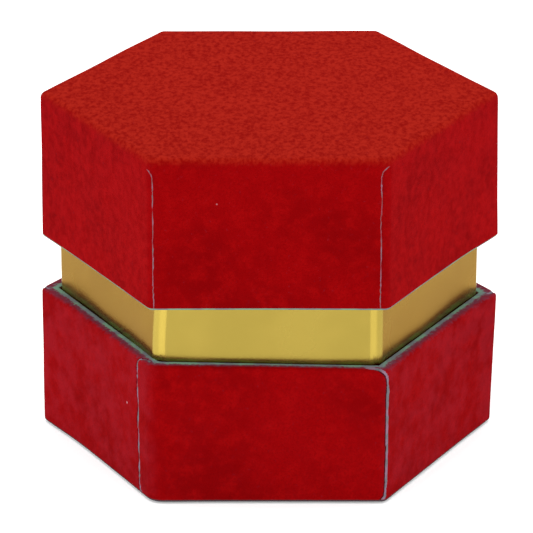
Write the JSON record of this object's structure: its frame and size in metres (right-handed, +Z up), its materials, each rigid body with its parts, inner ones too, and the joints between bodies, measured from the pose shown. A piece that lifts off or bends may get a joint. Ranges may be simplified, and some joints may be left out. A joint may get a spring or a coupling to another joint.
{
  "type": "ring box",
  "caption": "Hexagonal red velvet ring box: a lift-off lid over a gold shoulder collar, with a slotted velvet ring pad inside and a satin pad in the lid.",
  "frame": {"origin": "centre of the underside, on the surface that the box stands on", "axes": "+Z up through the lid, the way it lifts off; the front panel faces -Y; two of the six corners lie on the X axis"},
  "size_m": [0.0596, 0.052, 0.0472],
  "materials": {
    "red_velvet": "short flocked pile on a paper back",
    "lining_velvet": "short flocked pile on a paper back",
    "pad_velvet": "soft velvet cloth",
    "gold_foil_paper": "satin metallic gold foil",
    "greyboard": "uncoated board",
    "kraft_tape": "matte",
    "underside_paper": "fine flocked black paper",
    "lining_paper": "matte",
    "pad_card": "white-lined card",
    "foam": "open-cell foam",
    "ivory_satin": "satin"
  },
  "bodies": {
    "base": {"base_wall_front": "greyboard", "collar_wall_front": "greyboard", "base_wall_front_right": "greyboard", "collar_wall_front_right": "greyboard", "base_wall_back_right": "greyboard", "collar_wall_back_right": "greyboard", "base_wall_back": "greyboard", "collar_wall_back": "greyboard", "base_wall_back_left": "greyboard", "collar_wall_back_left": "greyboard", "base_wall_front_left": "greyboard", "collar_wall_front_left": "greyboard", "base_bottom_board": "greyboard", "base_corner_tapes": "kraft_tape", "base_velvet_wrap": "red_velvet", "collar_lining": "lining_velvet", "base_underside_sheet": "underside_paper", "collar_gold_wrap": "gold_foil_paper", "ring_pad_card": "pad_card", "ring_pad_foam_front": "foam", "ring_pad_foam_rear": "foam", "ring_pad_velvet_front": "pad_velvet", "ring_pad_velvet_rear": "pad_velvet"},
    "lid": {"lid_wall_front": "greyboard", "lid_wall_front_right": "greyboard", "lid_wall_back_right": "greyboard", "lid_wall_back": "greyboard", "lid_wall_back_left": "greyboard", "lid_wall_front_left": "greyboard", "lid_top_board": "greyboard", "lid_corner_tapes": "kraft_tape", "lid_velvet_wrap": "red_velvet", "lid_ceiling_lining": "lining_paper", "lid_wall_lining": "lining_paper", "lid_pad_card": "pad_card", "lid_pad_foam": "foam", "lid_satin_cover": "ivory_satin"}
  },
  "joints": [
    {"name": "lid_lift", "type": "slide", "parent": "base", "child": "lid", "axis": [0, 0, 1], "range_m": [0, 0.03]}
  ]
}
